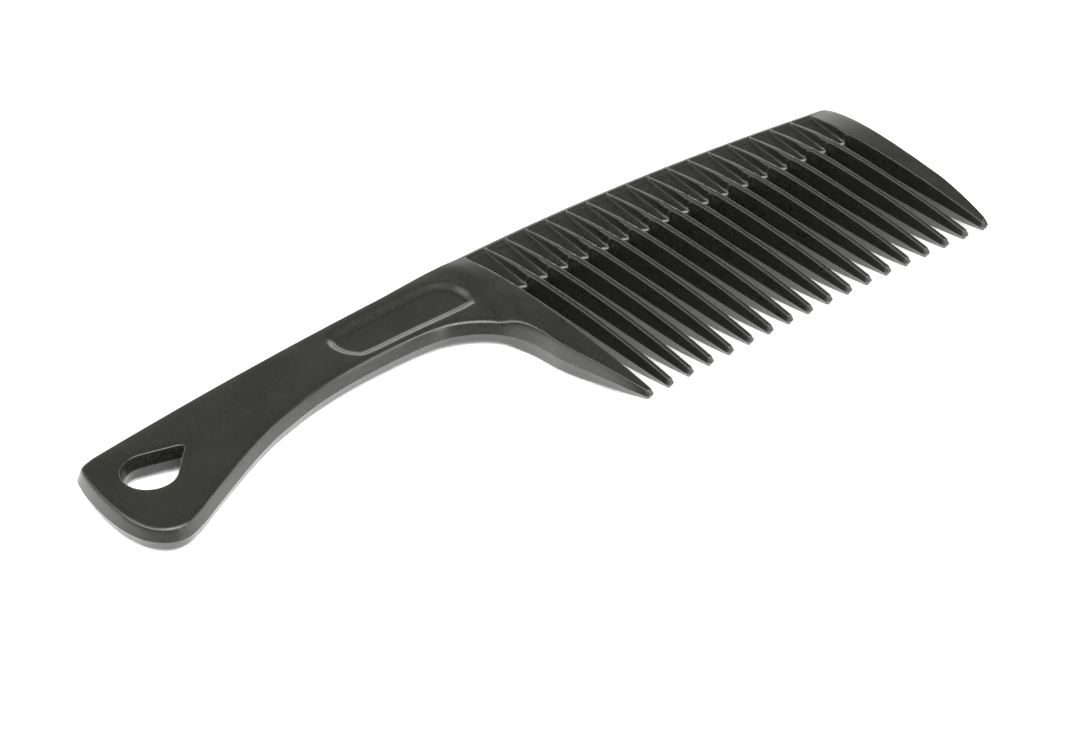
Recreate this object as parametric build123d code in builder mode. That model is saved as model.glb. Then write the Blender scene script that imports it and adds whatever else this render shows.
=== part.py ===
from build123d import *
import os

# Wide tooth rake comb with a handle, injection moulded in one shot of rigid plastic.
# It lies flat: +X runs from the handle to the front tooth, +Y points to the back edge and
# +Z is the thickness.  The origin is the bottom centre of the box.  Both faces are alike,
# mirrored about the parting plane at mid thickness.  All sizes are in millimetres.
# The moulding is written out as regions that touch face to face: handle, spine and teeth.

# ---- teeth -------------------------------------------------------------------------------
TOOTH_COUNT = 18              # two broad guard teeth and sixteen inner teeth
PITCH = 6.0
FIRST_TOOTH_X = 2.6
TIP_Y = -32.3                 # tip of the middle teeth
TIP_ROW_SAG = 1.15            # the outer tips reach this much further than the middle ones
TIP_ROW_TILT = 0.4            # and the front ones a little further than the rear ones
TIP_HALF_WIDTH = 1.12         # half widths on the parting plane
ROOT_HALF_WIDTH = 1.36
WALL_LEAN = 0.7               # the top face is narrower by this much on each side
TIP_PLAN_RADIUS = 0.9
TIP_SIDE_RADIUS = 0.6

# ---- blade thickness: a lens shaped section ------------------------------------------------
CREST_HALF = 4.3              # half thickness at the fullest point
CREST_Y = 8.5
TIP_HALF = 1.15
BACK_HALF = 2.45
LENS_TIP_Y = -33.6

# ---- spine, webs and ribs ------------------------------------------------------------------
SPINE_Y = 11.0                # the spine region starts here, just short of the gap roots
ROOT_Y_REAR = 14.9            # bottoms of the first and the last gap
ROOT_Y_FRONT = 11.9
WEB_ROOT_HALF = 1.6
WEB_DRAFT = 9.0
RIB_START = 1.2               # the ribs rise out of the back rim this far in
RIB_RISE = 3.4

# ---- back edge: two tangent arcs -----------------------------------------------------------
JOIN = (1.5, 32.3)
JOIN_SLOPE = 0.028
BLADE_BACK_RADIUS = 580.0
HANDLE_BACK_RADIUS = 993.0

# ---- guard teeth ---------------------------------------------------------------------------
REAR_EDGE = [(2.0, -5.5), (-2.0, -4.7), (-9.5, -4.0), (-22.7, -1.1), (-33.6, 1.1)]
FRONT_EDGE = [(SPINE_Y, 110.6), (0.4, 110.1), (-10.0, 109.6), (-16.7, 109.2), (-33.6, 106.5)]
FRONT_TOP = (109.8, 25.9)
FRONT_CORNER_RADIUS = 2.5
GUARD_TIP_RADIUS = 1.4

# ---- handle --------------------------------------------------------------------------------
HANDLE_HALF = 2.92
HANDLE_EDGE_RADIUS = 0.9
HANDLE_JOINT_X = -5.5         # the handle region ends on this line
JOINT_CUT_X = -2.5            # its plan runs on to here and is cut back square
SHOULDER = (-107.9, 23.0)     # sharp corners, before rounding
SHOULDER_RADIUS = 4.5
LEFT_BULGE = (-110.4, 7.0)
HEEL = (-104.8, -11.6)
HEEL_RADIUS = 8.0
FINGER_CURVE = [(-86.0, -1.6), (-65.0, 7.6), (-44.8, 11.8), (-28.0, 12.5),
                (-17.5, 11.7), (-9.6, 6.9), (-5.5, 2.0)]
RAMP_X = -1.0                 # the face swells from handle to blade between the joint and here
THROAT_Y = 2.0                # the finger curve runs into the rear guard tooth here
THROAT_FADE = 8.0

# ---- hang hole: a teardrop pointing at the blade --------------------------------------------
HOLE_CENTRE = (-96.8, 11.3)
HOLE_RADIUS = 5.4
HOLE_POINT = (-86.8, 14.0)
HOLE_DRAFT = 13.0

# ---- thumb recess, one on each face ----------------------------------------------------------
RECESS_OUTER = [(-41.8, 26.9), (-4.9, 28.6), (-4.9, 14.6), (-41.8, 14.6)]
RECESS_INNER = [(-38.6, 24.2), (-9.0, 25.6), (-8.2, 18.3), (-38.6, 18.3)]
RECESS_DEPTH = 0.95

MID = CREST_HALF              # height of the parting plane
PARTING = Plane.XY.offset(MID)
FRONT_TOOTH_X = FIRST_TOOTH_X + (TOOTH_COUNT - 1) * PITCH
FAR = 20.0

os.makedirs("parts", exist_ok=True)


def back_y(x):
    """Height of the back edge on the parting plane."""
    run = x - JOIN[0]
    radius = BLADE_BACK_RADIUS if run > 0 else HANDLE_BACK_RADIUS
    return JOIN[1] + JOIN_SLOPE * run - run * run / (2 * radius)


def root_y(x):
    share = (x - FIRST_TOOTH_X) / (FRONT_TOOTH_X - FIRST_TOOTH_X)
    return ROOT_Y_REAR + share * share * (ROOT_Y_FRONT - ROOT_Y_REAR)


def tip_y(x):
    middle = (FIRST_TOOTH_X + FRONT_TOOTH_X) / 2
    share = (x - middle) / (FRONT_TOOTH_X - middle)
    return TIP_Y - TIP_ROW_SAG * share * share - TIP_ROW_TILT * share


def half_width(y):
    """Half width of an inner tooth on the parting plane."""
    share = (min(y, SPINE_Y) - LENS_TIP_Y) / (SPINE_Y - LENS_TIP_Y)
    return TIP_HALF_WIDTH + (ROOT_HALF_WIDTH - TIP_HALF_WIDTH) * share


def crest_half(x, y):
    """Half thickness of the blade: one curve to the tips, a tighter one to the back edge."""
    if y < CREST_Y:
        return CREST_HALF - (CREST_HALF - TIP_HALF) * ((y - CREST_Y) / (LENS_TIP_Y - CREST_Y)) ** 2
    return CREST_HALF - (CREST_HALF - BACK_HALF) * ((y - CREST_Y) / (back_y(x) - CREST_Y)) ** 2


def web_half(x, y):
    """Half thickness of the web between the ribs."""
    share = (y - ROOT_Y_FRONT) / (back_y(x) - ROOT_Y_FRONT)
    return WEB_ROOT_HALF + share * (BACK_HALF - WEB_ROOT_HALF)


def edge_x(edge, y):
    """Interpolate a guard tooth's outer edge, listed from the root down as (y, x)."""
    if y >= edge[0][0]:
        return edge[0][1]
    for (y1, x1), (y2, x2) in zip(edge, edge[1:]):
        if y >= y2:
            return x1 + (x2 - x1) * (y - y1) / (y2 - y1)
    return edge[-1][1]


def hexagon(y, left, right, half):
    """Section of a tooth: widest on the parting plane, walls leaning in to both faces."""
    with BuildSketch(Plane.XZ.offset(-y)) as section:
        Polygon((left, MID), (left + WALL_LEAN, MID + half), (right - WALL_LEAN, MID + half),
                (right, MID), (right - WALL_LEAN, MID - half), (left + WALL_LEAN, MID - half),
                align=None)
    return section.sketch


def guard_section(y, left, flat, lean, half, right):
    """Section of the rear guard: a flat left face, a ramp up to the blade, a leaning wall."""
    with BuildSketch(Plane.XZ.offset(-y)) as section:
        Polygon((left, MID - flat), (left, MID + flat), (left + lean, MID + half),
                (right - WALL_LEAN, MID + half), (right, MID), (right - WALL_LEAN, MID - half),
                (left + lean, MID - half), align=None)
    return section.sketch


def tip_trim(left, right, tip, radius):
    """Space a tooth may fill: its end is rounded in plan and again in side view."""
    run = tip + 8
    rise = crest_half(left, run) + 0.05
    with BuildPart() as space:
        with BuildSketch(PARTING) as plan:
            Polygon((left - 9, SPINE_Y + 1), (right + 9, SPINE_Y + 1), (right + 9, tip + 2 * radius),
                    (right, tip + 2 * radius - 0.01), (right, tip), (left, tip),
                    (left, tip + 2 * radius - 0.01), (left - 9, tip + 2 * radius), align=None)
            fillet(plan.vertices().group_by(Axis.Y)[0], radius)
        extrude(amount=FAR, both=True)
        with BuildSketch(Plane.YZ.offset(left - 12)) as side:
            Polygon((tip, MID - crest_half(left, tip)), (tip, MID + crest_half(left, tip)),
                    (run, MID + rise), (run, MID + FAR), (SPINE_Y + 1, MID + FAR),
                    (SPINE_Y + 1, MID - FAR), (run, MID - FAR), (run, MID - rise), align=None)
            fillet(side.vertices().group_by(Axis.X)[0], TIP_SIDE_RADIUS)
        extrude(amount=right - left + 24, mode=Mode.INTERSECT)
    return space.part


def stations(start, end, count):
    return [start + (end - start) * i / (count - 1) for i in range(count)]


# ---- inner teeth -----------------------------------------------------------------------------
def inner_sections(centre, start, end, count):
    return [hexagon(y, centre - half_width(y), centre + half_width(y), crest_half(centre, y))
            for y in stations(start, end, count)]


for number in range(2, TOOTH_COUNT):
    centre = FIRST_TOOTH_X + (number - 1) * PITCH
    sections = inner_sections(centre, SPINE_Y, tip_y(centre) - 0.5, 6)
    trim = tip_trim(centre - TIP_HALF_WIDTH - 0.02, centre + TIP_HALF_WIDTH + 0.02,
                    tip_y(centre), TIP_PLAN_RADIUS)
    with BuildPart() as inner_tooth:
        loft(sections)
        add(trim, mode=Mode.INTERSECT)
    inner_tooth.part.label = f"tooth_{number:02d}"
    export_step(inner_tooth.part, f"parts/tooth_{number:02d}.step")

# ---- rear guard tooth --------------------------------------------------------------------------
def rear_section(y):
    """The ramp at the handle joint fades into a plain leaning wall below the throat."""
    inner = FIRST_TOOTH_X + half_width(y)
    fade = min(1.0, max(0.0, (y + THROAT_FADE - THROAT_Y) / THROAT_FADE))
    lean = WALL_LEAN + (RAMP_X - HANDLE_JOINT_X - WALL_LEAN) * fade
    flat = 0.1 + (HANDLE_HALF - 0.1) * fade
    outer = edge_x(REAR_EDGE, y) if y < THROAT_Y else HANDLE_JOINT_X
    return guard_section(y, outer, flat, lean, crest_half(0, y), inner)


trim = tip_trim(edge_x(REAR_EDGE, TIP_Y) - 0.1, FIRST_TOOTH_X + TIP_HALF_WIDTH + 0.02,
                tip_y(FIRST_TOOTH_X), GUARD_TIP_RADIUS)
with BuildPart() as rear_guard_tooth:
    loft([rear_section(y) for y in stations(SPINE_Y, THROAT_Y, 3)], ruled=True)
    loft([rear_section(y) for y in stations(THROAT_Y, tip_y(FIRST_TOOTH_X) - 0.5, 7)])
    add(trim, mode=Mode.INTERSECT)
rear_guard_tooth.part.label = "rear_guard_tooth"
export_step(rear_guard_tooth.part, "parts/rear_guard_tooth.step")


# ---- front guard tooth -------------------------------------------------------------------------
def front_section(y):
    inner = FRONT_TOOTH_X - half_width(y)
    return hexagon(y, inner, edge_x(FRONT_EDGE, y), crest_half(FRONT_TOOTH_X, y))


trim = tip_trim(FRONT_TOOTH_X - TIP_HALF_WIDTH - 0.02, edge_x(FRONT_EDGE, TIP_Y),
                tip_y(FRONT_TOOTH_X), GUARD_TIP_RADIUS)
with BuildPart() as front_guard_tooth:
    loft([front_section(y) for y in stations(SPINE_Y, tip_y(FRONT_TOOTH_X) - 0.5, 8)])
    add(trim, mode=Mode.INTERSECT)
front_guard_tooth.part.label = "front_guard_tooth"
export_step(front_guard_tooth.part, "parts/front_guard_tooth.step")


# ---- spine: webs notched by the gap roots, ribs running up from the teeth ------------------------
def web_section(x):
    low, high = web_half(x, SPINE_Y - 1), web_half(x, back_y(x) + 2)
    with BuildSketch(Plane.YZ.offset(x)) as section:
        Polygon((SPINE_Y - 1, MID - low), (back_y(x) + 2, MID - high),
                (back_y(x) + 2, MID + high), (SPINE_Y - 1, MID + low), align=None)
    return section.sketch


def rib_sections(centre):
    start = back_y(centre) - RIB_START
    last = hexagon(start, centre - half_width(start), centre + half_width(start),
                   web_half(centre, start) - 0.05)
    return inner_sections(centre, SPINE_Y, start - RIB_RISE, 4) + [last]


with BuildPart() as spine:
    with BuildSketch(PARTING) as spine_plan:
        with BuildLine():
            middle_x = (HANDLE_JOINT_X + FRONT_TOP[0]) / 2
            ThreePointArc((HANDLE_JOINT_X, back_y(HANDLE_JOINT_X)), (middle_x, back_y(middle_x)),
                          FRONT_TOP)
            Polyline(FRONT_TOP, (FRONT_EDGE[0][1], SPINE_Y), (HANDLE_JOINT_X, SPINE_Y),
                     (HANDLE_JOINT_X, back_y(HANDLE_JOINT_X)))
        make_face()
        fillet(spine_plan.vertices().sort_by_distance((FRONT_TOP[0], FRONT_TOP[1], MID))[0],
               FRONT_CORNER_RADIUS)
        gap = PITCH - 2 * ROOT_HALF_WIDTH
        for number in range(1, TOOTH_COUNT):
            gap_x = FIRST_TOOTH_X + (number - 0.5) * PITCH
            with Locations((gap_x, root_y(gap_x) - gap / 2)):
                Circle(gap / 2, mode=Mode.SUBTRACT)
                Rectangle(gap, 2 * FAR, align=(Align.CENTER, Align.MAX), mode=Mode.SUBTRACT)
    extrude(amount=BACK_HALF + 0.4, taper=WEB_DRAFT)
    loft([web_section(HANDLE_JOINT_X - 1), web_section(FRONT_EDGE[0][1] + 1)],
         mode=Mode.INTERSECT)
    mirror(about=PARTING)
    for number in range(2, TOOTH_COUNT):
        loft(rib_sections(FIRST_TOOTH_X + (number - 1) * PITCH))
    loft([rear_section(y) for y in stations(SPINE_Y, back_y(0) - RIB_START, 5)])
    loft([front_section(y) for y in stations(SPINE_Y, FRONT_TOP[1] - RIB_START - 1.0, 4)])
spine.part.label = "spine"
export_step(spine.part, "parts/spine.step")

# ---- handle: flat plate with a hang hole and a thumb recess on each face --------------------------
with BuildPart() as handle:
    with BuildSketch(PARTING) as handle_plan:
        with BuildLine():
            middle_x = (JOINT_CUT_X + SHOULDER[0]) / 2
            ThreePointArc((JOINT_CUT_X, back_y(JOINT_CUT_X)), (middle_x, back_y(middle_x)),
                          (SHOULDER[0], back_y(SHOULDER[0])))
            ThreePointArc((SHOULDER[0], back_y(SHOULDER[0])), LEFT_BULGE, HEEL)
            Line(HEEL, FINGER_CURVE[0])
            Spline(*FINGER_CURVE, tangents=[(1.0, 0.51), (0.5, -1.0)])
            Polyline(FINGER_CURVE[-1], (JOINT_CUT_X, FINGER_CURVE[-1][1] - 6.0),
                     (JOINT_CUT_X, back_y(JOINT_CUT_X)))
        make_face()
        fillet(handle_plan.vertices().sort_by_distance((HEEL[0], HEEL[1], MID))[0], HEEL_RADIUS)
        corner = (SHOULDER[0], back_y(SHOULDER[0]), MID)
        fillet(handle_plan.vertices().sort_by_distance(corner)[0], SHOULDER_RADIUS)
    extrude(amount=HANDLE_HALF)
    fillet(handle.edges().group_by(Axis.Z)[-1], HANDLE_EDGE_RADIUS)
    split(bisect_by=Plane.YZ.offset(HANDLE_JOINT_X), keep=Keep.BOTTOM)
    with BuildSketch(PARTING) as hole_plan:
        with BuildLine():
            Line((HOLE_CENTRE[0] + 0.8, HOLE_CENTRE[1] + HOLE_RADIUS), HOLE_POINT)
            Line(HOLE_POINT, (HOLE_CENTRE[0] + 3.4, HOLE_CENTRE[1] - 4.5))
            Line((HOLE_CENTRE[0] + 3.4, HOLE_CENTRE[1] - 4.5),
                 (HOLE_CENTRE[0] + 0.8, HOLE_CENTRE[1] + HOLE_RADIUS))
        make_face()
        with Locations(HOLE_CENTRE):
            Circle(HOLE_RADIUS)
    extrude(amount=HANDLE_HALF, taper=-HOLE_DRAFT, mode=Mode.SUBTRACT)
    for outline, height in ((RECESS_OUTER, HANDLE_HALF), (RECESS_INNER, HANDLE_HALF - RECESS_DEPTH)):
        with BuildSketch(PARTING.offset(height)) as ring:
            Polygon(*outline, align=None)
            fillet(ring.vertices(), 2.5)
    loft(mode=Mode.SUBTRACT)
    mirror(about=PARTING)
handle.part.label = "handle"
export_step(handle.part, "parts/handle.step")
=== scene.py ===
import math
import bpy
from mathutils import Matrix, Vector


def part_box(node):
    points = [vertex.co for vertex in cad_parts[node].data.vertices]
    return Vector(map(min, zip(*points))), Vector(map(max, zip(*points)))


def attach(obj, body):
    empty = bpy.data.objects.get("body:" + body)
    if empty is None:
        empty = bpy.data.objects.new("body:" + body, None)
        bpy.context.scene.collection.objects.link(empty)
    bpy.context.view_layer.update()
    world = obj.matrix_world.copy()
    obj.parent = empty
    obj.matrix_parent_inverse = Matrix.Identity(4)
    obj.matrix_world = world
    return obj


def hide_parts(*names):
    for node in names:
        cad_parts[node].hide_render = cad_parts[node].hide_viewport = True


bl_info = {
    "name": "Wide Tooth Comb",
    "version": (1, 0, 0),
    "blender": (4, 5, 0),
    "location": "View3D > Sidebar > Comb",
    "description": "Surfaces, finish and studio for a moulded wide tooth comb with a handle",
    "category": "Add Mesh",
}

import bmesh
import bpy
from mathutils import Vector
from mathutils.geometry import delaunay_2d_cdt

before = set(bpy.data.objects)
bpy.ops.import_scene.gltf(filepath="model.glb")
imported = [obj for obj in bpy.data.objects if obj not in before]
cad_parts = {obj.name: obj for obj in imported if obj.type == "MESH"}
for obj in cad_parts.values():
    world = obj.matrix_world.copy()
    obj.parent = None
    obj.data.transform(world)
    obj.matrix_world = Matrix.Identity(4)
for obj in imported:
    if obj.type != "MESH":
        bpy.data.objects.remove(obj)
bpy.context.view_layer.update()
BODY = "root"
MM = 0.001
FINISH = "satin_plastic"


def millimetres(node):
    """Lowest and highest corner of a CAD node, in millimetres."""
    low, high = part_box(node)
    return low / MM, high / MM


# ---- places taken from the frame, in millimetres --------------------------------------------
INNER_TEETH = sorted(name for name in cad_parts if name.startswith("tooth_"))
TOOTH_COUNT = len(INNER_TEETH) + 2
_first = sum(millimetres(INNER_TEETH[0]), Vector()) / 2
_last = sum(millimetres(INNER_TEETH[-1]), Vector()) / 2
PITCH = (_last.x - _first.x) / (len(INNER_TEETH) - 1)
REAR_CREST_X = _first.x - PITCH           # crest line of the rear guard tooth
FRONT_CREST_X = _last.x + PITCH
MIDDLE_X = (REAR_CREST_X + FRONT_CREST_X) / 2
PARTING_Z = (millimetres("handle")[0].z + millimetres("handle")[1].z) / 2
HANDLE_HALF = (millimetres("handle")[1].z - millimetres("handle")[0].z) / 2
CREST_HALF = millimetres("tooth_09")[1].z - PARTING_Z

# ---- blade ------------------------------------------------------------------------------------
BLADE_JOIN = (1.5, 32.3, 0.028)           # x, y and slope where the two back arcs meet
BLADE_BACK_RADIUS = 580.0
HANDLE_BACK_RADIUS = 993.0
TIP_Y = -32.3                             # tip of the middle teeth
TIP_SAG = 1.15                            # outer teeth reach this much further
TIP_TILT = 0.4                            # and the front ones a little more
CREST_Y = 8.5
TIP_HALF = 1.15
BACK_HALF = 2.45
ROOT_REAR_Y = 14.9
ROOT_FRONT_Y = 11.9
WARP_Y = -5.0                             # teeth keep their place about this line
TIP_WIDTH = 1.12                          # half widths on the parting plane
ROOT_WIDTH = 1.36
TIP_LENGTH = 1.1                          # length of the rounded tip in plan
TOOTH_LEAN = 0.66
TOOTH_EDGE = 0.34
BACK_LEAN = 0.33
BACK_EDGE = 0.9
HANDLE_LEAN = 1.1
HANDLE_EDGE = 0.9
HOLE_LEAN = 0.72
HOLE_EDGE = 0.3
NOSE_REACH = 0.8                          # the web's rounded front runs back this far
VALLEY_HALF = 1.5                         # half thickness of the web at its front
RIM = 1.7                                 # ribs start this far in from the back edge
RIB_CROWN = (0.12, 0.56)                  # half width of a rib at its start and at the gap root
RIB_WALL = (0.22, 0.5)                    # width of a rib's side at the same two places
RIM_STEP = 0.42                           # drop from the rim to the web beside it

# ---- mesh density ---------------------------------------------------------------------------------
ARC_STEPS = 5                             # faces over a rounded edge
WALL_STEPS = (0.0, 0.33, 0.67)            # shares of the straight wall under it
CAP_COLUMNS = 6                           # columns of one half gap: tooth tip, tooth, gap root
SIDE_COLUMNS = 30
ARC_COLUMNS = 12
CREST_COLUMN = CAP_COLUMNS + SIDE_COLUMNS
ROWS = 30                                 # rows of the web from the gap root to the back rim
SETTLE_ROWS = 7                           # the columns take up the rib's width over these rows
ROW_CROWDING = 1.5                        # the rows close up towards the rim
OUTLINE_STEP = 0.7
HALVINGS = 40


def back_y(x):
    """Back edge on the parting plane: two tangent arcs."""
    run = x - BLADE_JOIN[0]
    radius = BLADE_BACK_RADIUS if run > 0 else HANDLE_BACK_RADIUS
    return BLADE_JOIN[1] + BLADE_JOIN[2] * run - run * run / (2 * radius)


def root_y(x):
    share = (x - REAR_CREST_X) / (FRONT_CREST_X - REAR_CREST_X)
    return ROOT_REAR_Y + share * share * (ROOT_FRONT_Y - ROOT_REAR_Y)


def tip_y(x):
    share = (x - MIDDLE_X) / (FRONT_CREST_X - MIDDLE_X)
    return TIP_Y - TIP_SAG * share * share - TIP_TILT * share


REST_TIP_Y = tip_y(REAR_CREST_X)
REST_BACK_Y = back_y(REAR_CREST_X)
HALF_PITCH = PITCH / 2
ROOT_ARC_Y = ROOT_REAR_Y - (HALF_PITCH - ROOT_WIDTH)
RIM_Y = REST_BACK_Y - RIM
BACK_INSET = BACK_LEAN + BACK_EDGE


def clamp(value):
    return min(1.0, max(0.0, value))


def ease(value):
    value = clamp(value)
    return value * value * (3 - 2 * value)


def warp(x, y):
    """Moves a point of the rear crest's profile to the profile at x."""
    x = min(max(x, REAR_CREST_X), FRONT_CREST_X)
    tip, root, back = tip_y(x) - REST_TIP_Y, root_y(x) - ROOT_REAR_Y, back_y(x) - REST_BACK_Y
    low = clamp((WARP_Y - y) / (WARP_Y - REST_TIP_Y))
    high = clamp((y - WARP_Y) / (ROOT_REAR_Y - WARP_Y))
    rim = clamp((y - ROOT_REAR_Y) / (REST_BACK_Y - BACK_INSET - ROOT_REAR_Y))
    return y + tip * low + root * high + (back - root) * rim


def unwarp(x, y):
    low, high = REST_TIP_Y - 8.0, REST_BACK_Y + 8.0
    for _ in range(HALVINGS):
        middle = (low + high) / 2
        if warp(x, middle) < y:
            low = middle
        else:
            high = middle
    return (low + high) / 2


def lens(y):
    """Half thickness of the blade on the rear crest's profile."""
    end_y, end_half = (REST_TIP_Y, TIP_HALF) if y < CREST_Y else (REST_BACK_Y, BACK_HALF)
    return CREST_HALF - (CREST_HALF - end_half) * ((y - CREST_Y) / (end_y - CREST_Y)) ** 2


def tooth_width(y):
    share = clamp((y - REST_TIP_Y) / (ROOT_REAR_Y - REST_TIP_Y))
    return TIP_WIDTH + (ROOT_WIDTH - TIP_WIDTH) * share


def rib_share(y):
    """0 where a rib rises out of the rim, 1 at the gap root."""
    return clamp((RIM_Y - y) / (RIM_Y - ROOT_REAR_Y))


def valley(y):
    """Half thickness along the middle of a web."""
    share = rib_share(y)
    step = RIM_STEP * ease(share * 9)
    fall = (lens(RIM_Y) - step - VALLEY_HALF) * share ** 1.15
    return lens(max(y, RIM_Y)) - step - fall


def rib_edges(y):
    """Distances from the crest line to the edge of a rib's crown and to its foot."""
    share = rib_share(y)
    crown = RIB_CROWN[0] + (RIB_CROWN[1] - RIB_CROWN[0]) * share
    return crown, crown + RIB_WALL[0] + (RIB_WALL[1] - RIB_WALL[0]) * share


def web(off_crest, y):
    """Half thickness at a distance from the nearest crest line."""
    crown, foot = rib_edges(y)
    fall = clamp((off_crest - crown) / (foot - crown))
    return lens(y) + (valley(y) - lens(y)) * (0.8 * fall + 0.2 * ease(fall))


def off_crest_stations(y):
    """Where the columns of a row stand: close together on the side of the rib."""
    crown, foot = rib_edges(y)
    side = [crown + (foot - crown) * share for share in (0.0, 0.12, 0.5, 0.88, 1.0)]
    floor = [foot + 0.14, foot + 0.45]
    rest = [floor[-1] + (HALF_PITCH - floor[-1]) * step / 4 for step in range(1, 5)]
    return [0.0, crown * 0.6] + side + floor + rest


def wall_section(height, lean, radius):
    """Points (inset, height) from the parting line up the wall and over its rounded edge."""
    length = math.hypot(lean, height)
    up = (-lean / length, -height / length)
    half = math.acos(up[0]) / 2
    reach = min(radius / math.tan(half), 0.7 * length)
    radius = reach * math.tan(half)
    foot = (lean + up[0] * reach, height + up[1] * reach)
    points = [(foot[0] * share, foot[1] * share) for share in WALL_STEPS]
    centre = (lean + reach, height - radius)
    start = math.atan2(foot[1] - centre[1], foot[0] - centre[0])
    end = math.pi / 2
    if start < 0:
        start += 2 * math.pi
    for step in range(ARC_STEPS + 1):
        angle = start + (end - start) * step / ARC_STEPS
        points.append((centre[0] + radius * math.cos(angle),
                       centre[1] + radius * math.sin(angle)))
    return points


def nose_section(height, reach):
    """The same number of points over the rounded front of a web."""
    count = len(WALL_STEPS) + ARC_STEPS
    points = []
    for step in range(count + 1):
        angle = math.pi / 2 * step / count
        points.append((reach * (1 - math.cos(angle)), height * math.sin(angle)))
    return points


# ---- mesh helpers -------------------------------------------------------------------------------
class Shell:
    """Collects upper and mirrored lower vertices of a moulding that parts at mid thickness."""

    def __init__(self):
        self.points = []
        self.faces = []

    def add(self, x, y, z):
        """Adds a point at height z over the parting plane and its mirror image."""
        self.points.append((x, y, z))
        self.points.append((x, y, -z))
        return len(self.points) - 2

    def face(self, corners):
        """Adds a face of the upper side, counterclockwise from above, and its mirror image."""
        self.faces.append(tuple(corners))
        self.faces.append(tuple(corner + 1 for corner in reversed(corners)))

    def grid(self, rows):
        """Faces between rows that run left to right, each row above the one before."""
        for near, far in zip(rows, rows[1:]):
            for a, b, c, d in zip(near, near[1:], far[1:], far):
                self.face((a, b, c, d))

    def wall(self, rings):
        """Faces between rings that run inwards from an outline with the plastic on its left."""
        for near, far in zip(rings, rings[1:]):
            for a, b, c, d in zip(near, near[1:], far[1:], far):
                self.face((a, d, c, b))

    def mesh(self, name):
        mesh = bpy.data.meshes.new(name)
        mesh.from_pydata([(x * MM, y * MM, (z + PARTING_Z) * MM) for x, y, z in self.points],
                         [], self.faces)
        shell = bmesh.new()
        shell.from_mesh(mesh)
        bmesh.ops.remove_doubles(shell, verts=shell.verts, dist=0.002 * MM)
        bmesh.ops.dissolve_degenerate(shell, edges=shell.edges, dist=0.0005 * MM)
        for face in shell.faces:
            face.smooth = True
        parting = PARTING_Z * MM
        for edge in shell.edges:
            if all(abs(vertex.co.z - parting) < 1e-6 for vertex in edge.verts):
                edge.smooth = False
        shell.to_mesh(mesh)
        shell.free()
        return mesh


def new_piece(name, mesh, material):
    piece = bpy.data.objects.new(name, mesh)
    bpy.context.scene.collection.objects.link(piece)
    mesh.materials.clear()
    mesh.materials.append(material)
    return piece


# ---- the repeated gap: from one crest line to the next ---------------------------------------------
def gap_columns():
    """Columns of one half gap: each is a list of (x, y, z) from the parting line inwards."""
    columns = []
    for step in range(CAP_COLUMNS + 1):
        angle = math.pi / 2 * step / CAP_COLUMNS
        start = (-HALF_PITCH + TIP_WIDTH * math.sin(angle),
                 REST_TIP_Y + TIP_LENGTH * (1 - math.cos(angle)))
        end = (-HALF_PITCH, REST_TIP_Y + TIP_LENGTH * (0.9 + 0.12 * step / CAP_COLUMNS))
        columns.append(tooth_column(start, end))
    low = REST_TIP_Y + TIP_LENGTH
    for step in range(1, SIDE_COLUMNS + 1):
        y = low + (ROOT_ARC_Y - low) * step / SIDE_COLUMNS
        shift = TIP_LENGTH * 0.02 * (1 - step / SIDE_COLUMNS)
        columns.append(tooth_column((-HALF_PITCH + tooth_width(y), y), (-HALF_PITCH, y + shift)))
    for step in range(1, ARC_COLUMNS + 1):
        columns.append(root_column(math.pi / 2 * (1 - step / ARC_COLUMNS)))
    return columns


def tooth_column(start, end):
    """A column from the parting line over the tooth's edge to its crest line."""
    run = (end[0] - start[0], end[1] - start[1])
    length = math.hypot(*run)
    section = wall_section(lens(end[1]), TOOTH_LEAN, TOOTH_EDGE)
    section += [(section[-1][0] + (length - section[-1][0]) * 0.5, None), (length, None)]
    column = []
    for inset, z in section:
        share = inset / length
        x, y = start[0] + run[0] * share, start[1] + run[1] * share
        column.append((x, y, lens(y) if z is None else z * lens(y) / lens(end[1])))
    return column


def root_column(angle):
    """A column across the rounded gap root; the angle falls from a right angle to 0."""
    inner = HALF_PITCH - ROOT_WIDTH
    blend = ease((math.degrees(angle) - 35) / 55)
    outer_z = web(HALF_PITCH * (1 - math.sin(angle)), ROOT_ARC_Y + HALF_PITCH * math.cos(angle))
    tooth = wall_section(outer_z, TOOTH_LEAN, TOOTH_EDGE)
    tooth += [(tooth[-1][0] + (ROOT_WIDTH - tooth[-1][0]) * 0.5, outer_z), (ROOT_WIDTH, outer_z)]
    nose = nose_section(outer_z, NOSE_REACH)
    nose += [(nose[-1][0] + (ROOT_WIDTH - nose[-1][0]) * 0.5, outer_z), (ROOT_WIDTH, outer_z)]
    column = []
    for (inset_a, z_a), (inset_b, z_b) in zip(tooth, nose):
        inset = inset_b + (inset_a - inset_b) * blend
        share = (z_b + (z_a - z_b) * blend) / outer_z
        radius = inner + inset
        x, y = -radius * math.sin(angle), ROOT_ARC_Y + radius * math.cos(angle)
        column.append((x, y, share * web(HALF_PITCH + x, y)))
    return column


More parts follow.
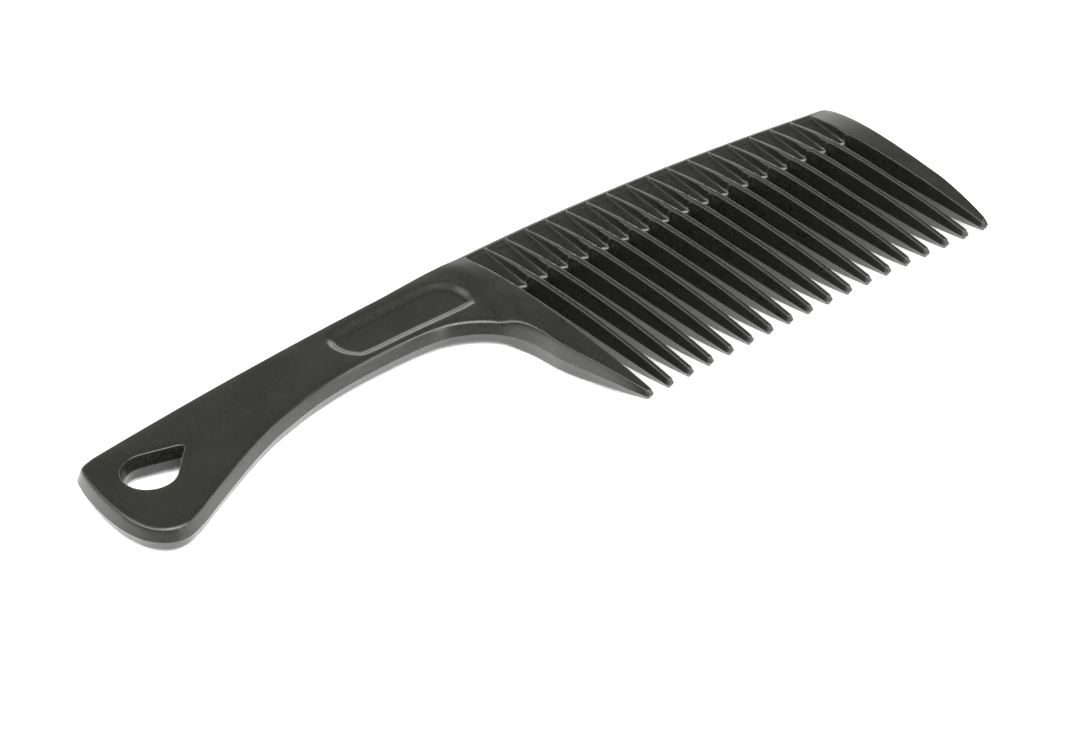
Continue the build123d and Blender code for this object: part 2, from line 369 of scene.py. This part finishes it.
def upper_rows(columns):
    """Rows over the web, from the circle round the gap root to the parting line at the back."""
    rim = REST_BACK_Y - BACK_INSET
    rows = []
    for step in range(1, ROWS + 1):
        row = []
        share = 1 - (1 - step / ROWS) ** ROW_CROWDING
        for number, column in enumerate(columns):
            x, y, _ = column[-1]
            new_y = y + (rim - y) * share
            from_crest = min(number, abs(2 * ARC_COLUMNS - number))
            station = HALF_PITCH - off_crest_stations(new_y)[from_crest]
            new_x = math.copysign(abs(x) + (station - abs(x)) * ease(step / SETTLE_ROWS), x)
            row.append((new_x, new_y, web(HALF_PITCH - abs(new_x), new_y)))
        rows.append(row)
    section = wall_section(lens(rim), BACK_LEAN, BACK_EDGE)
    for inset, z in reversed(section[:-1]):
        rows.append([(x, REST_BACK_Y - inset, z) for x, _, _ in rows[ROWS - 1]])
    return rows


def crest_line():
    """Places (y, z) of the crest line's vertices from tip to back, on the rear profile."""
    columns = gap_columns()[:CREST_COLUMN + 1]
    line = [column[-1][1:] for column in columns]
    return line + [row[0][1:] for row in upper_rows(columns[-1:])[:ROWS]]


def gap_mesh():
    """The gap between two crest lines, on the rear profile."""
    shell = Shell()
    columns = gap_columns()
    mirrored = [[(-x, y, z) for x, y, z in column] for column in reversed(columns[:-1])]
    whole = columns + mirrored
    shell.wall([[shell.add(*point) for point in column] for column in whole])
    arc = columns[CREST_COLUMN:] + mirrored[:ARC_COLUMNS]
    first = [shell.add(*column[-1]) for column in arc]
    rows = [first] + [[shell.add(*point) for point in row] for row in upper_rows(arc)]
    shell.grid(rows)
    return shell.mesh("gap_cell")


# ---- plates: outlines with a moulded wall, filled with a smooth face --------------------------------
def smooth_line(points, step):
    """Points every step or so along a Catmull-Rom curve through the given ones."""
    before = tuple(2 * a - b for a, b in zip(points[0], points[1]))
    beyond = tuple(2 * a - b for a, b in zip(points[-1], points[-2]))
    chain = [before, *points, beyond]
    line = [points[0]]
    for a, b, c, d in zip(chain, chain[1:], chain[2:], chain[3:]):
        count = max(2, round(math.dist(b[:2], c[:2]) / step))
        for index in range(1, count + 1):
            t = index / count
            line.append(tuple(
                0.5 * (2 * q + (r - p) * t + (2 * p - 5 * q + 4 * r - s) * t * t
                       + (3 * q - p - 3 * r + s) * t ** 3)
                for p, q, r, s in zip(a, b, c, d)))
    return line


def signed_distance(loop, x, y):
    """Distance to a closed outline, positive inside."""
    best = 1e9
    inside = False
    for (ax, ay), (bx, by) in zip(loop, loop[1:] + loop[:1]):
        dx, dy = bx - ax, by - ay
        t = clamp(((x - ax) * dx + (y - ay) * dy) / (dx * dx + dy * dy))
        best = min(best, math.hypot(x - ax - dx * t, y - ay - dy * t))
        if (ay > y) != (by > y) and x < ax + (y - ay) * dx / dy:
            inside = not inside
    return best if inside else -best


def strip(shell, outline, surface, first=None, last=None, closed=False):
    """Wall along (x, y, lean, edge) points, plastic on its left; returns the inset line."""
    rings = []
    count = len(outline)
    for index, (x, y, lean, edge) in enumerate(outline):
        before = outline[(index - 1) % count if closed else max(index - 1, 0)]
        after = outline[(index + 1) % count if closed else min(index + 1, count - 1)]
        run = Vector((after[0] - before[0], after[1] - before[1])).normalized()
        inward = Vector((-run.y, run.x))
        if index == 0 and first:
            inward = Vector(first)
        if index == count - 1 and last:
            inward = Vector(last)
        reach = lean + edge
        height = surface(x + inward.x * reach, y + inward.y * reach)
        rings.append([shell.add(x + inward.x * inset, y + inward.y * inset, z)
                      for inset, z in wall_section(height, lean, edge)])
    if closed:
        rings.append(rings[0])
    shell.wall(rings)
    inset = [ring[-1] for ring in rings]
    return inset[:-1] if closed else inset


def fill(shell, loop, holes, inside, surface):
    """Fills the face between the inset lines with a smooth sheet through the inside points."""
    borders = [loop] + holes
    flat, edges = [], []
    for border in borders:
        start = len(flat)
        flat += [Vector(shell.points[index][:2]) for index in border]
        edges += [(start + i, start + (i + 1) % len(border)) for i in range(len(border))]
    known = [index for border in borders for index in border]
    flat += [Vector(point) for point in inside]
    points, _, faces, origins, _, _ = delaunay_2d_cdt(flat, edges, [], 0, 1e-5)
    outlines = [[shell.points[index][:2] for index in border] for border in borders]
    made = {}
    for number, (point, origin) in enumerate(zip(points, origins)):
        old = min(origin) if origin else None
        if old is not None and old < len(known):
            made[number] = known[old]
        else:
            made[number] = shell.add(point.x, point.y, surface(point.x, point.y))
    for face in faces:
        middle = sum((points[i] for i in face), Vector((0, 0))) / len(face)
        if signed_distance(outlines[0], *middle) < 0:
            continue
        if any(signed_distance(hole, *middle) > 0 for hole in outlines[1:]):
            continue
        area = sum(points[a].x * points[b].y - points[b].x * points[a].y
                   for a, b in zip(face, list(face[1:]) + [face[0]]))
        corners = [made[i] for i in face]
        shell.face(corners if area > 0 else corners[::-1])


# ---- handle and rear guard tooth ------------------------------------------------------------------
END_AND_GRIP = [
    (-105.6, 23.2), (-107.3, 22.4), (-108.4, 20.8), (-109.2, 17.9), (-109.9, 13.9),
    (-110.35, 9.3), (-110.4, 4.5), (-109.9, 0.3),
    (-108.4, -4.2), (-105.2, -7.7), (-101.2, -8.7), (-96.5, -7.2), (-90.0, -3.9), (-83.0, -0.3),
    (-76.5, 2.9), (-70.5, 5.5), (-65.0, 7.5), (-54.5, 10.3), (-44.8, 11.8), (-35.6, 12.4),
    (-27.0, 12.5), (-20.5, 12.1), (-16.0, 11.0), (-11.9, 8.8), (-8.6, 5.9), (-6.3, 2.5),
    (-4.9, -1.2), (-4.2, -5.5)]
REAR_TIP = [(-3.8, -10.0), (-2.9, -14.5), (-1.9, -18.5), (-0.9, -23.0), (0.1, -27.5),
            (0.95, -31.0), (1.25, -32.3), (1.75, -32.85)]
SHOULDER_X = -103.5
RECESS = [(-41.8, 22.5), (-41.3, 24.6), (-39.8, 26.4), (-37.1, 27.1), (-29.0, 27.8),
          (-18.7, 28.3), (-10.5, 28.2), (-7.5, 26.9), (-5.5, 24.6), (-4.7, 21.3), (-4.9, 18.2),
          (-6.2, 15.6), (-9.0, 14.8), (-24.3, 14.9), (-36.5, 14.9), (-39.6, 16.6), (-41.3, 19.4)]
RECESS_DEPTH = 0.95
RECESS_WALL = 2.6
RECESS_REACH = ((-43, 13), (-3, 30))      # no point of the recess lies outside these corners
HOLE = (-96.8, 11.3, 5.4)                 # centre and radius of the teardrop's round end
HOLE_POINT = (-86.8, 14.0)
RAMP = [(32.0, -4.6), (17.0, -5.0), (8.0, -7.0), (2.0, -9.0), (-40.0, -9.0)]
RAMP_WIDTH = 6.5


def interpolate(table, value):
    """Reads a falling table of (value, result) pairs."""
    for (high, at_high), (low, at_low) in zip(table, table[1:]):
        if value >= low:
            return at_low + (at_high - at_low) * clamp((value - low) / (high - low))
    return table[-1][1]


RECESS_LOOP = smooth_line(RECESS + RECESS[:1], 1.0)[:-1]


def handle_surface(x, y):
    """Half thickness of the handle and, past the ramp, of the rear guard tooth."""
    start = interpolate(RAMP, y)
    fade = ease((x - start) / RAMP_WIDTH)
    share = fade + (1 - fade) * ease((5.0 - y) / 12.0) * ease((x + 20.0) / 8.0)
    height = HANDLE_HALF + (lens(y) - HANDLE_HALF) * share
    (left, bottom), (right, top) = RECESS_REACH
    if left < x < right and bottom < y < top:
        height -= RECESS_DEPTH * ease(signed_distance(RECESS_LOOP, x, y) / RECESS_WALL)
    return height


def handle_outline():
    """Parting line from the crest line at the back, round the handle, to the guard's tip."""
    steps = 90
    span = REAR_CREST_X - SHOULDER_X
    back = [(REAR_CREST_X - span * i / steps, back_y(REAR_CREST_X - span * i / steps))
            for i in range(steps)]
    ends = [(SHOULDER_X, back_y(SHOULDER_X))] + END_AND_GRIP + REAR_TIP
    ends.append((REAR_CREST_X, REST_TIP_Y))
    line = back + smooth_line(ends, OUTLINE_STEP)
    outline = []
    for x, y in line:
        if x > -12 and y < 12:
            share, end_lean, end_edge = ease((4.0 - y) / 12.0), TOOTH_LEAN, TOOTH_EDGE
        else:
            share = ease((x + 24.0) / 18.0) * (y > 20)
            end_lean, end_edge = BACK_LEAN, BACK_EDGE
        outline.append((x, y, HANDLE_LEAN + (end_lean - HANDLE_LEAN) * share,
                        HANDLE_EDGE + (end_edge - HANDLE_EDGE) * share))
    return outline


def hole_outline():
    """Teardrop: a round end and two sides that meet in a point, plastic on its left."""
    x, y, radius = HOLE
    to_point = Vector((HOLE_POINT[0] - x, HOLE_POINT[1] - y))
    heading = math.atan2(to_point.y, to_point.x)
    spread = math.acos(radius / to_point.length)
    round_end = []
    steps = 48
    for step in range(steps + 1):
        angle = heading + spread + (2 * math.pi - 2 * spread) * step / steps
        round_end.append((x + radius * math.cos(angle), y + radius * math.sin(angle)))
    sides = []
    for start, end in ((round_end[-1], HOLE_POINT), (HOLE_POINT, round_end[0])):
        sides += [tuple(a + (b - a) * i / 14 for a, b in zip(start, end)) for i in range(1, 14)]
        if end is HOLE_POINT:
            sides.append(HOLE_POINT)
    loop = round_end + sides
    return [(px, py, HOLE_LEAN, HOLE_EDGE) for px, py in reversed(loop)]


def handle_inside(outline, hole):
    """Points inside the face: rings over the recess walls, and a lattice elsewhere."""
    points = []
    loop = RECESS_LOOP
    for inset in (-0.8, -0.25, 0.15, 0.5, 0.9, 1.3, 1.65, 2.0, 2.4, 2.8, 3.15, 3.5):
        for index, (x, y) in enumerate(loop):
            before, after = loop[index - 1], loop[(index + 1) % len(loop)]
            run = Vector((after[0] - before[0], after[1] - before[1])).normalized()
            point = (x + run.y * inset, y - run.x * inset)
            if abs(signed_distance(loop, *point) - inset) < 0.12:
                points.append(point)
    border = [point[:2] for point in outline]
    border += [(REAR_CREST_X, y) for y, _ in reversed(crest_line())]
    eye = [point[:2] for point in hole]
    x = -110.0
    while x < REAR_CREST_X - 0.5:
        spacing = 1.6 if x < -13 else 0.8
        y = -32.0
        while y < 32:
            recess = signed_distance(loop, x, y)
            near = 2.6 if y > -2 or x < -20 else 1.4
            if (signed_distance(border, x, y) > near and not -1.2 < recess < 3.9
                    and signed_distance(eye, x, y) < -1.7):
                points.append((x, y))
            y += spacing
        x += spacing
    return points


# ---- front guard tooth ------------------------------------------------------------------------------
FRONT_EDGE = [(106.7, 25.7), (108.7, 25.2), (110.0, 23.7), (110.5, 21.3), (110.6, 17.5),
              (110.5, 11.4), (110.0, 0.3), (109.5, -10.0), (109.1, -16.8), (108.0, -24.4),
              (106.8, -30.5), (106.3, -32.3), (105.6, -33.5)]


def front_surface(x, y):
    return lens(unwarp(FRONT_CREST_X, y))


def front_outline():
    """Parting line from the guard's tip up its outer side to the crest line at the back."""
    ends = [(FRONT_CREST_X, REST_TIP_Y)] + FRONT_EDGE[::-1]
    ends.append((FRONT_CREST_X, back_y(FRONT_CREST_X)))
    outline = []
    for x, y in smooth_line(ends, OUTLINE_STEP):
        back = ease((y - 19.0) / 4.0)
        outline.append((x, y, TOOTH_LEAN + (BACK_LEAN - TOOTH_LEAN) * back,
                        TOOTH_EDGE + (BACK_EDGE - TOOTH_EDGE) * back))
    return outline


def crest_points(shell, x, inset_at_tip, inset_at_back):
    """Vertices of a crest line between the walls at its two ends, from tip to back."""
    low = shell.points[inset_at_tip][1] + 0.15
    high = shell.points[inset_at_back][1] - 0.15
    line = []
    for y, z in crest_line():
        place = warp(x, y)
        if low < place < high:
            line.append(shell.add(x, place, z))
    return line


# ---- finish -------------------------------------------------------------------------------------------
def plastic(settings):
    """Satin moulded plastic: fine grain, faint flow marks and handling wear."""
    material = bpy.data.materials.new(FINISH)
    material.use_nodes = True
    nodes, links = material.node_tree.nodes, material.node_tree.links
    shader = nodes["Principled BSDF"]
    place = nodes.new("ShaderNodeTexCoord")
    grain = nodes.new("ShaderNodeTexNoise")
    grain.inputs["Scale"].default_value = 3200.0
    grain.inputs["Detail"].default_value = 1.0
    links.new(place.outputs["Object"], grain.inputs["Vector"])
    cloud = nodes.new("ShaderNodeTexNoise")
    cloud.inputs["Scale"].default_value = 90.0
    cloud.inputs["Detail"].default_value = 4.0
    links.new(place.outputs["Object"], cloud.inputs["Vector"])
    colour = nodes.new("ShaderNodeValToRGB")
    dark, light = colour.color_ramp.elements
    dark.position, light.position = 0.42, 0.66
    dark.color = (*[c * 0.2 for c in settings.plastic_colour], 1)
    light.color = (*[c * 3.2 for c in settings.plastic_colour], 1)
    links.new(grain.outputs["Fac"], colour.inputs["Fac"])
    links.new(colour.outputs["Color"], shader.inputs["Base Color"])
    rough = nodes.new("ShaderNodeMapRange")
    rough.inputs["To Min"].default_value = settings.roughness - 0.05
    rough.inputs["To Max"].default_value = settings.roughness + 0.07
    links.new(cloud.outputs["Fac"], rough.inputs["Value"])
    links.new(rough.outputs["Result"], shader.inputs["Roughness"])
    bump = nodes.new("ShaderNodeBump")
    bump.inputs["Strength"].default_value = 1.0
    bump.inputs["Distance"].default_value = 0.012 * MM
    links.new(grain.outputs["Fac"], bump.inputs["Height"])
    links.new(bump.outputs["Normal"], shader.inputs["Normal"])
    shader.inputs["IOR"].default_value = 1.5
    return material


def comb_material():
    found = bpy.data.materials.get(FINISH)
    return found or plastic(bpy.context.scene.comb_finish)


# ---- settings -----------------------------------------------------------------------------------------
class CombBladeSettings(bpy.types.PropertyGroup):
    gaps: bpy.props.IntProperty(
        name="Gaps", description="Number of gaps between the teeth", default=TOOTH_COUNT - 1, min=1)
    pitch: bpy.props.FloatProperty(
        name="Pitch", description="Distance from one tooth to the next", default=PITCH * MM,
        unit="LENGTH")


class CombFinishSettings(bpy.types.PropertyGroup):
    plastic_colour: bpy.props.FloatVectorProperty(
        name="Plastic colour", description="Colour of the moulded plastic", subtype="COLOR",
        size=3, default=(0.0034, 0.0035, 0.0029), min=0, max=1)
    roughness: bpy.props.FloatProperty(
        name="Roughness", description="Satin finish: higher is duller", default=0.27, min=0, max=1,
        subtype="FACTOR")


class CombStudioSettings(bpy.types.PropertyGroup):
    floor_colour: bpy.props.FloatVectorProperty(
        name="Floor colour", description="Colour of the floor", subtype="COLOR", size=3,
        default=(0.9, 0.9, 0.9), min=0, max=1)
    sky: bpy.props.FloatProperty(
        name="Sweep brightness", description="Brightness of the white sweep round the set",
        default=1.0, min=0)
    azimuth: bpy.props.FloatProperty(
        name="Azimuth", description="Direction the camera looks along, from +Y towards +X",
        default=math.radians(40.1536), subtype="ANGLE")
    elevation: bpy.props.FloatProperty(
        name="Elevation", description="Angle the camera looks down by",
        default=math.radians(35.8338), subtype="ANGLE")
    lens: bpy.props.FloatProperty(
        name="Lens", description="Focal length of the camera", default=112.227, unit="CAMERA")


# ---- the gap pattern in Geometry Nodes -----------------------------------------------------------------
def tree_input(tree, name, kind, default=None):
    socket = tree.interface.new_socket(name=name, in_out="INPUT", socket_type=kind)
    if default is not None:
        socket.default_value = default
    return socket.identifier


def gap_tree(material):
    """Repeats the gap along the blade, then bends its back, root and tip lines into arcs."""
    tree = bpy.data.node_groups.new("comb_gaps", "GeometryNodeTree")
    tree.interface.new_socket(name="Geometry", in_out="OUTPUT", socket_type="NodeSocketGeometry")
    names = {
        "cell": tree_input(tree, "Gap", "NodeSocketObject"),
        "count": tree_input(tree, "Count", "NodeSocketInt", 17),
        "pitch": tree_input(tree, "Pitch", "NodeSocketFloat", 0.006),
        "first": tree_input(tree, "First Gap", "NodeSocketFloat", 0.0),
        "sag": tree_input(tree, "Tip Sag", "NodeSocketFloat", 0.0),
        "tilt": tree_input(tree, "Tip Tilt", "NodeSocketFloat", 0.0),
        "root": tree_input(tree, "Root Drop", "NodeSocketFloat", 0.0),
        "slope": tree_input(tree, "Back Slope", "NodeSocketFloat", 0.0),
        "radius": tree_input(tree, "Back Radius", "NodeSocketFloat", 1.0),
    }
    nodes, links = tree.nodes, tree.links
    source = nodes.new("NodeGroupInput")

    def feed(socket, value):
        if isinstance(value, (int, float)):
            socket.default_value = value
        else:
            links.new(value, socket)

    def sum_up(operation, *values):
        node = nodes.new("ShaderNodeMath")
        node.operation = operation
        for socket, value in zip(node.inputs, values):
            feed(socket, value)
        return node.outputs[0]

    def ramp(value, low, high):
        node = nodes.new("ShaderNodeMapRange")
        feed(node.inputs["Value"], value)
        node.inputs["From Min"].default_value = low
        node.inputs["From Max"].default_value = high
        return node.outputs["Result"]

    line = nodes.new("GeometryNodeMeshLine")
    links.new(source.outputs["Count"], line.inputs["Count"])
    start, offset = nodes.new("ShaderNodeCombineXYZ"), nodes.new("ShaderNodeCombineXYZ")
    links.new(source.outputs["First Gap"], start.inputs["X"])
    links.new(source.outputs["Pitch"], offset.inputs["X"])
    links.new(start.outputs[0], line.inputs["Start Location"])
    links.new(offset.outputs[0], line.inputs["Offset"])
    cell = nodes.new("GeometryNodeObjectInfo")
    links.new(source.outputs["Gap"], cell.inputs["Object"])
    repeat = nodes.new("GeometryNodeInstanceOnPoints")
    links.new(line.outputs["Mesh"], repeat.inputs["Points"])
    links.new(cell.outputs["Geometry"], repeat.inputs["Instance"])
    real = nodes.new("GeometryNodeRealizeInstances")
    links.new(repeat.outputs["Instances"], real.inputs["Geometry"])
    position, split = nodes.new("GeometryNodeInputPosition"), nodes.new("ShaderNodeSeparateXYZ")
    links.new(position.outputs[0], split.inputs[0])
    x, y = split.outputs["X"], split.outputs["Y"]

    across = sum_up("DIVIDE", sum_up("SUBTRACT", x, MIDDLE_X * MM),
                    (FRONT_CREST_X - MIDDLE_X) * MM)
    tip = sum_up("MULTIPLY", sum_up("SUBTRACT", 1.0, sum_up("MULTIPLY", across, across)),
                 source.outputs["Tip Sag"])
    tip = sum_up("SUBTRACT", tip, sum_up("MULTIPLY", sum_up("ADD", across, 1.0),
                                         source.outputs["Tip Tilt"]))
    share = ramp(x, REAR_CREST_X * MM, FRONT_CREST_X * MM)
    root = sum_up("MULTIPLY", sum_up("MULTIPLY", share, share), source.outputs["Root Drop"])
    run = sum_up("SUBTRACT", x, BLADE_JOIN[0] * MM)
    bend = sum_up("DIVIDE", sum_up("MULTIPLY", run, run),
                  sum_up("MULTIPLY", source.outputs["Back Radius"], 2.0))
    rise = sum_up("SUBTRACT", sum_up("MULTIPLY", run, source.outputs["Back Slope"]), bend)
    back = sum_up("ADD", rise, (BLADE_JOIN[1] - REST_BACK_Y) * MM)
    low = ramp(y, WARP_Y * MM, REST_TIP_Y * MM)
    high = ramp(y, WARP_Y * MM, ROOT_REAR_Y * MM)
    rim = ramp(y, ROOT_REAR_Y * MM, (REST_BACK_Y - BACK_INSET) * MM)
    shift = sum_up("ADD", sum_up("MULTIPLY", tip, low), sum_up("MULTIPLY", root, high))
    shift = sum_up("ADD", shift, sum_up("MULTIPLY", sum_up("SUBTRACT", back, root), rim))
    move = nodes.new("ShaderNodeCombineXYZ")
    links.new(shift, move.inputs["Y"])
    place = nodes.new("GeometryNodeSetPosition")
    links.new(real.outputs[0], place.inputs["Geometry"])
    links.new(move.outputs[0], place.inputs["Offset"])
    merge = nodes.new("GeometryNodeMergeByDistance")
    merge.inputs["Distance"].default_value = 0.003 * MM
    links.new(place.outputs[0], merge.inputs["Geometry"])
    paint = nodes.new("GeometryNodeSetMaterial")
    paint.inputs["Material"].default_value = material
    links.new(merge.outputs[0], paint.inputs["Geometry"])
    sink = nodes.new("NodeGroupOutput")
    links.new(paint.outputs[0], sink.inputs["Geometry"])
    return tree, names


class COMB_OT_blade(bpy.types.Operator):
    """Builds the spine and the inner teeth from one repeated gap"""
    bl_idname = "comb.blade"
    bl_label = "Spine and teeth"

    def execute(self, context):
        settings = context.scene.comb_blade
        material = comb_material()
        cell = new_piece("gap_cell", gap_mesh(), material)
        host = new_piece("gap_pattern", bpy.data.meshes.new("gap_pattern"), material)
        tree, names = gap_tree(material)
        modifier = host.modifiers.new("Gaps", "NODES")
        modifier.node_group = tree
        modifier[names["cell"]] = cell
        modifier[names["count"]] = settings.gaps
        modifier[names["pitch"]] = settings.pitch
        modifier[names["first"]] = (REAR_CREST_X + PITCH / 2) * MM
        modifier[names["sag"]] = TIP_SAG * MM
        modifier[names["tilt"]] = TIP_TILT * MM
        modifier[names["root"]] = (ROOT_FRONT_Y - ROOT_REAR_Y) * MM
        modifier[names["slope"]] = BLADE_JOIN[2]
        modifier[names["radius"]] = BLADE_BACK_RADIUS * MM
        host.update_tag()
        context.view_layer.update()
        graph = context.evaluated_depsgraph_get()
        mesh = bpy.data.meshes.new_from_object(host.evaluated_get(graph))
        blade = new_piece("spine_and_teeth", mesh, material)
        for helper in (host, cell):
            bpy.data.objects.remove(helper)
        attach(blade, BODY)
        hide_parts("spine", *INNER_TEETH)
        return {"FINISHED"}


class COMB_OT_handle(bpy.types.Operator):
    """Builds the handle, its hang hole and thumb recesses, and the rear guard tooth"""
    bl_idname = "comb.handle"
    bl_label = "Handle"

    def execute(self, context):
        shell = Shell()
        outline = handle_outline()
        inset = strip(shell, outline, handle_surface, first=(0, -1), last=(0, 1))
        hole = hole_outline()
        eye = strip(shell, hole, handle_surface, closed=True)
        crest = crest_points(shell, REAR_CREST_X, inset[-1], inset[0])
        fill(shell, inset + crest, [eye], handle_inside(outline, hole), handle_surface)
        piece = new_piece("handle_and_rear_guard", shell.mesh("handle"), comb_material())
        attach(piece, BODY)
        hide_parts("handle", "rear_guard_tooth")
        return {"FINISHED"}


class COMB_OT_front_guard(bpy.types.Operator):
    """Builds the broad tooth at the front end"""
    bl_idname = "comb.front_guard"
    bl_label = "Front guard tooth"

    def execute(self, context):
        shell = Shell()
        outline = front_outline()
        inset = strip(shell, outline, front_surface, first=(0, 1), last=(0, -1))
        crest = crest_points(shell, FRONT_CREST_X, inset[0], inset[-1])
        border = [point[:2] for point in outline]
        inside = []
        x = FRONT_CREST_X + 0.8
        while x < 110:
            y = REST_TIP_Y
            while y < REST_BACK_Y:
                if signed_distance(border, x, y) > (1.9 if y > 18 else 1.4):
                    inside.append((x, y))
                y += 0.8
            x += 0.8
        fill(shell, inset + crest[::-1], [], inside, front_surface)
        piece = new_piece("front_guard", shell.mesh("front_guard"), comb_material())
        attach(piece, BODY)
        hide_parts("front_guard_tooth")
        return {"FINISHED"}


CAMERA_PLACE = (-0.390315, -0.461870, 0.432020)
SOFT_LIGHTS = (                           # name, place, size and power of each soft box
    ("front_box", (-0.22, -0.55, 1.15), (1.1, 0.8), 22.0),
    ("back_box", (-0.45, 1.0, 1.15), (0.8, 0.6), 5.0),
    ("right_window", (0.85, -1.25, 0.30), (0.22, 0.30), 3.0),
    ("left_window", (0.25, -1.45, 0.34), (0.22, 0.30), 3.0),
)
CAMERA_SIDE = (-0.645, -0.764, 0.0)
BRIGHTEST = 9.0
BACK_SKY = (                              # height of the view direction and its brightness
    (0.0, 3.6), (0.24, 3.4), (0.42, 0.55), (0.55, 0.11), (0.68, 0.22), (0.85, 0.8),
)
FRONT_SKY = ((0.0, 0.1), (0.4, 0.1), (0.48, 9.0), (0.72, 9.0), (0.8, 0.6), (1.0, 0.8))


def sky_ramp(nodes, sky):
    """Brightness against height; the dim parts are a little warm."""
    ramp = nodes.new("ShaderNodeValToRGB")
    elements = ramp.color_ramp.elements
    while len(elements) < len(sky):
        elements.new(0.5)
    for element, (height, bright) in zip(elements, sky):
        element.position = height
        share = bright / BRIGHTEST
        element.color = (share, share * (1.02 if bright < 1 else 1.0),
                         share * (0.86 if bright < 1 else 1.0), 1)
    return ramp


def studio_world(settings):
    """White sweep behind the set, and a dark room with an overhead soft box before it."""
    world = bpy.data.worlds.new("studio")
    world.use_nodes = True
    nodes, links = world.node_tree.nodes, world.node_tree.links
    place, split = nodes.new("ShaderNodeTexCoord"), nodes.new("ShaderNodeSeparateXYZ")
    links.new(place.outputs["Generated"], split.inputs[0])
    back, front = sky_ramp(nodes, BACK_SKY), sky_ramp(nodes, FRONT_SKY)
    for ramp in (back, front):
        links.new(split.outputs["Z"], ramp.inputs["Fac"])
    towards = nodes.new("ShaderNodeVectorMath")
    towards.operation = "DOT_PRODUCT"
    towards.inputs[1].default_value = CAMERA_SIDE
    links.new(place.outputs["Generated"], towards.inputs[0])
    side = nodes.new("ShaderNodeMapRange")
    side.inputs["From Min"].default_value = -0.1
    side.inputs["From Max"].default_value = 0.15
    links.new(towards.outputs["Value"], side.inputs["Value"])
    mix = nodes.new("ShaderNodeMixRGB")
    links.new(side.outputs["Result"], mix.inputs["Fac"])
    links.new(back.outputs["Color"], mix.inputs["Color1"])
    links.new(front.outputs["Color"], mix.inputs["Color2"])
    links.new(mix.outputs["Color"], nodes["Background"].inputs["Color"])
    nodes["Background"].inputs["Strength"].default_value = settings.sky * BRIGHTEST
    return world


class COMB_OT_studio(bpy.types.Operator):
    """Builds the floor, the soft lights and the camera"""
    bl_idname = "comb.studio"
    bl_label = "Studio"

    def execute(self, context):
        settings = context.scene.comb_studio
        scene = context.scene
        floor_mesh = bpy.data.meshes.new("floor")
        reach = 4.0
        floor_mesh.from_pydata([(-reach, -reach, 0), (reach, -reach, 0), (reach, reach, 0),
                                (-reach, reach, 0)], [], [(0, 1, 2, 3)])
        white = bpy.data.materials.new("floor_white")
        white.use_nodes = True
        shader = white.node_tree.nodes["Principled BSDF"]
        shader.inputs["Base Color"].default_value = (*settings.floor_colour, 1)
        shader.inputs["Roughness"].default_value = 0.9
        floor = new_piece("floor", floor_mesh, white)
        scene.view_settings.view_transform = "Standard"
        scene.world = studio_world(settings)
        for name, place, size, power in SOFT_LIGHTS:
            light = bpy.data.lights.new(name, "AREA")
            light.shape = "RECTANGLE"
            light.size, light.size_y = size
            light.energy = power
            lamp = bpy.data.objects.new(name, light)
            scene.collection.objects.link(lamp)
            lamp.location = place
            aim = -Vector(place)
            lamp.rotation_euler = aim.to_track_quat("-Z", "Y").to_euler()
        view = bpy.data.cameras.new("camera")
        view.lens = settings.lens
        view.sensor_width = 36.0
        camera = bpy.data.objects.new("camera", view)
        scene.collection.objects.link(camera)
        camera.location = CAMERA_PLACE
        level = math.cos(settings.elevation)
        look = Vector((math.sin(settings.azimuth) * level, math.cos(settings.azimuth) * level,
                       -math.sin(settings.elevation)))
        camera.rotation_euler = look.to_track_quat("-Z", "Y").to_euler()
        scene.camera = camera
        return {"FINISHED"}


class COMB_PT_panel(bpy.types.Panel):
    """Lists the comb's pieces"""
    bl_idname = "COMB_PT_panel"
    bl_label = "Wide tooth comb"
    bl_space_type = "VIEW_3D"
    bl_region_type = "UI"
    bl_category = "Comb"

    def draw(self, context):
        for group in (context.scene.comb_blade, context.scene.comb_finish,
                      context.scene.comb_studio):
            for name in group.__annotations__:
                self.layout.prop(group, name)
        for operator in OPERATORS:
            self.layout.operator(operator.bl_idname)


OPERATORS = (COMB_OT_blade, COMB_OT_handle, COMB_OT_front_guard, COMB_OT_studio)
GROUPS = {"comb_blade": CombBladeSettings, "comb_finish": CombFinishSettings,
          "comb_studio": CombStudioSettings}


def register():
    for cls in (*GROUPS.values(), *OPERATORS, COMB_PT_panel):
        bpy.utils.register_class(cls)
    for name, group in GROUPS.items():
        setattr(bpy.types.Scene, name, bpy.props.PointerProperty(type=group))


def unregister():
    for name in GROUPS:
        delattr(bpy.types.Scene, name)
    for cls in (COMB_PT_panel, *reversed(OPERATORS), *reversed(list(GROUPS.values()))):
        bpy.utils.unregister_class(cls)


def main():
    register()
    bpy.ops.comb.blade()
    bpy.ops.comb.handle()
    bpy.ops.comb.front_guard()
    bpy.ops.comb.studio()


if __name__ == "__main__":
    main()
